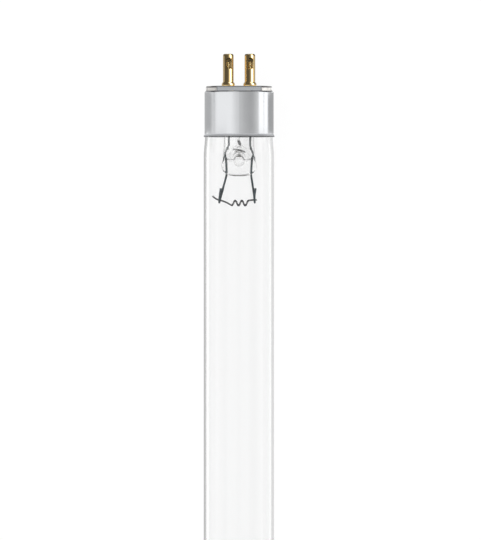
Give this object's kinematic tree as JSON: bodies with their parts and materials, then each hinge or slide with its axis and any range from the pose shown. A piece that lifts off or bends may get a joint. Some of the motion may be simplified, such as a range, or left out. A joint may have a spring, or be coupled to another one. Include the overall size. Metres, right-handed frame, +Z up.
{
  "type": "uvc germicidal lamp tube",
  "caption": "Straight clear-glass low-pressure UVC germicidal lamp tube with bi-pin aluminium end caps, glass stems and coiled electrodes.",
  "frame": {"origin": "on the plane that the lamp lies on, under the middle of the lamp", "axes": "+X along the lamp, out of the cap of end A; +Z up; the pins of each cap lie side by side along Y"},
  "size_m": [0.15, 0.0156, 0.0156],
  "materials": {
    "glass": "clear, fire-polished",
    "stem_glass": "clear, pressed and fire-polished",
    "aluminium": "satin, drawn",
    "insulator": "matt moulded phenolic",
    "brass": "polished, drawn",
    "cement": "matt, grainy",
    "lead_wire": "nickel-plated, satin",
    "tungsten": "wound tungsten with a dusting of emitter",
    "mercury": "liquid mirror"
  },
  "bodies": {
    "root": {"cap_shell_a": "aluminium", "cap_shell_b": "aluminium", "cement_ring_a": "cement", "cement_ring_b": "cement", "contact_pin_a1": "brass", "contact_pin_a2": "brass", "contact_pin_b1": "brass", "contact_pin_b2": "brass", "electrode_coil_a": "tungsten", "electrode_coil_b": "tungsten", "glass_tube": "glass", "inner_lead_a1": "lead_wire", "inner_lead_a2": "lead_wire", "inner_lead_b1": "lead_wire", "inner_lead_b2": "lead_wire", "insulating_plate_a": "insulator", "insulating_plate_b": "insulator", "mercury_drop": "mercury", "outer_lead_a1": "lead_wire", "outer_lead_a2": "lead_wire", "outer_lead_b1": "lead_wire", "outer_lead_b2": "lead_wire", "stem_a": "stem_glass", "stem_b": "stem_glass"}
  },
  "joints": []
}
